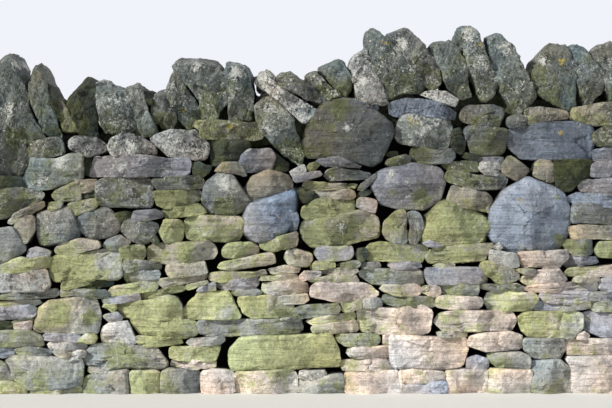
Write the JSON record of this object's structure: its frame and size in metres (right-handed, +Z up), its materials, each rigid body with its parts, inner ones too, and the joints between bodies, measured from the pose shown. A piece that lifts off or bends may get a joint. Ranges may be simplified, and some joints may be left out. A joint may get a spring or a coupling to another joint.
{
  "type": "dry stone field wall, straight length with built ends",
  "caption": "Straight length of dry stone field wall: two battered skins with hearting and through stones, flat cover stones and a cope of leaning stones set on edge.",
  "frame": {"origin": "on the ground under the middle of the wall, at the bottom centre of its bounding box", "axes": "+X along the wall, to the right seen from the front; +Y through the wall, away from the front face; +Z up"},
  "size_m": [3, 0.72, 1.4847],
  "materials": {
    "walling_stone": "weathered gritstone, grey to beige, with green algae",
    "cope_stone": "weathered gritstone, grey, speckled with pale crusts of lichen",
    "footing_stone": "weathered gritstone, beige grey, low and slightly soiled",
    "hearting_stone": "broken gritstone rubble, dark in the joints"
  },
  "bodies": {
    "root": {"back_course_1": "walling_stone", "back_course_2": "walling_stone", "back_course_3": "walling_stone", "back_course_4": "walling_stone", "back_course_5": "walling_stone", "back_course_6": "walling_stone", "back_course_7": "walling_stone", "cope_01": "cope_stone", "cope_02": "cope_stone", "cope_03": "cope_stone", "cope_04": "cope_stone", "cope_05": "cope_stone", "cope_07": "cope_stone", "cope_08": "cope_stone", "cope_09": "cope_stone", "cope_11": "cope_stone", "cope_12": "cope_stone", "cope_13": "cope_stone", "cope_15": "cope_stone", "cope_16": "cope_stone", "cope_18": "cope_stone", "cope_19": "cope_stone", "cope_20": "cope_stone", "cope_21": "cope_stone", "cope_22": "cope_stone", "cope_23": "cope_stone", "cope_24": "cope_stone", "cope_25": "cope_stone", "cope_26": "cope_stone", "cope_27": "cope_stone", "cope_28": "cope_stone", "cope_29": "cope_stone", "cope_wedges": "cope_stone", "cover_stones": "cope_stone", "footing_back": "footing_stone", "footing_front": "footing_stone", "front_course_1": "walling_stone", "front_course_2": "walling_stone", "front_course_3": "walling_stone", "front_course_4": "walling_stone", "front_course_5": "walling_stone", "front_course_6": "walling_stone", "front_course_7": "walling_stone", "head_fillers": "hearting_stone", "head_ties": "walling_stone", "hearting": "hearting_stone", "through_stones": "walling_stone"}
  },
  "joints": []
}
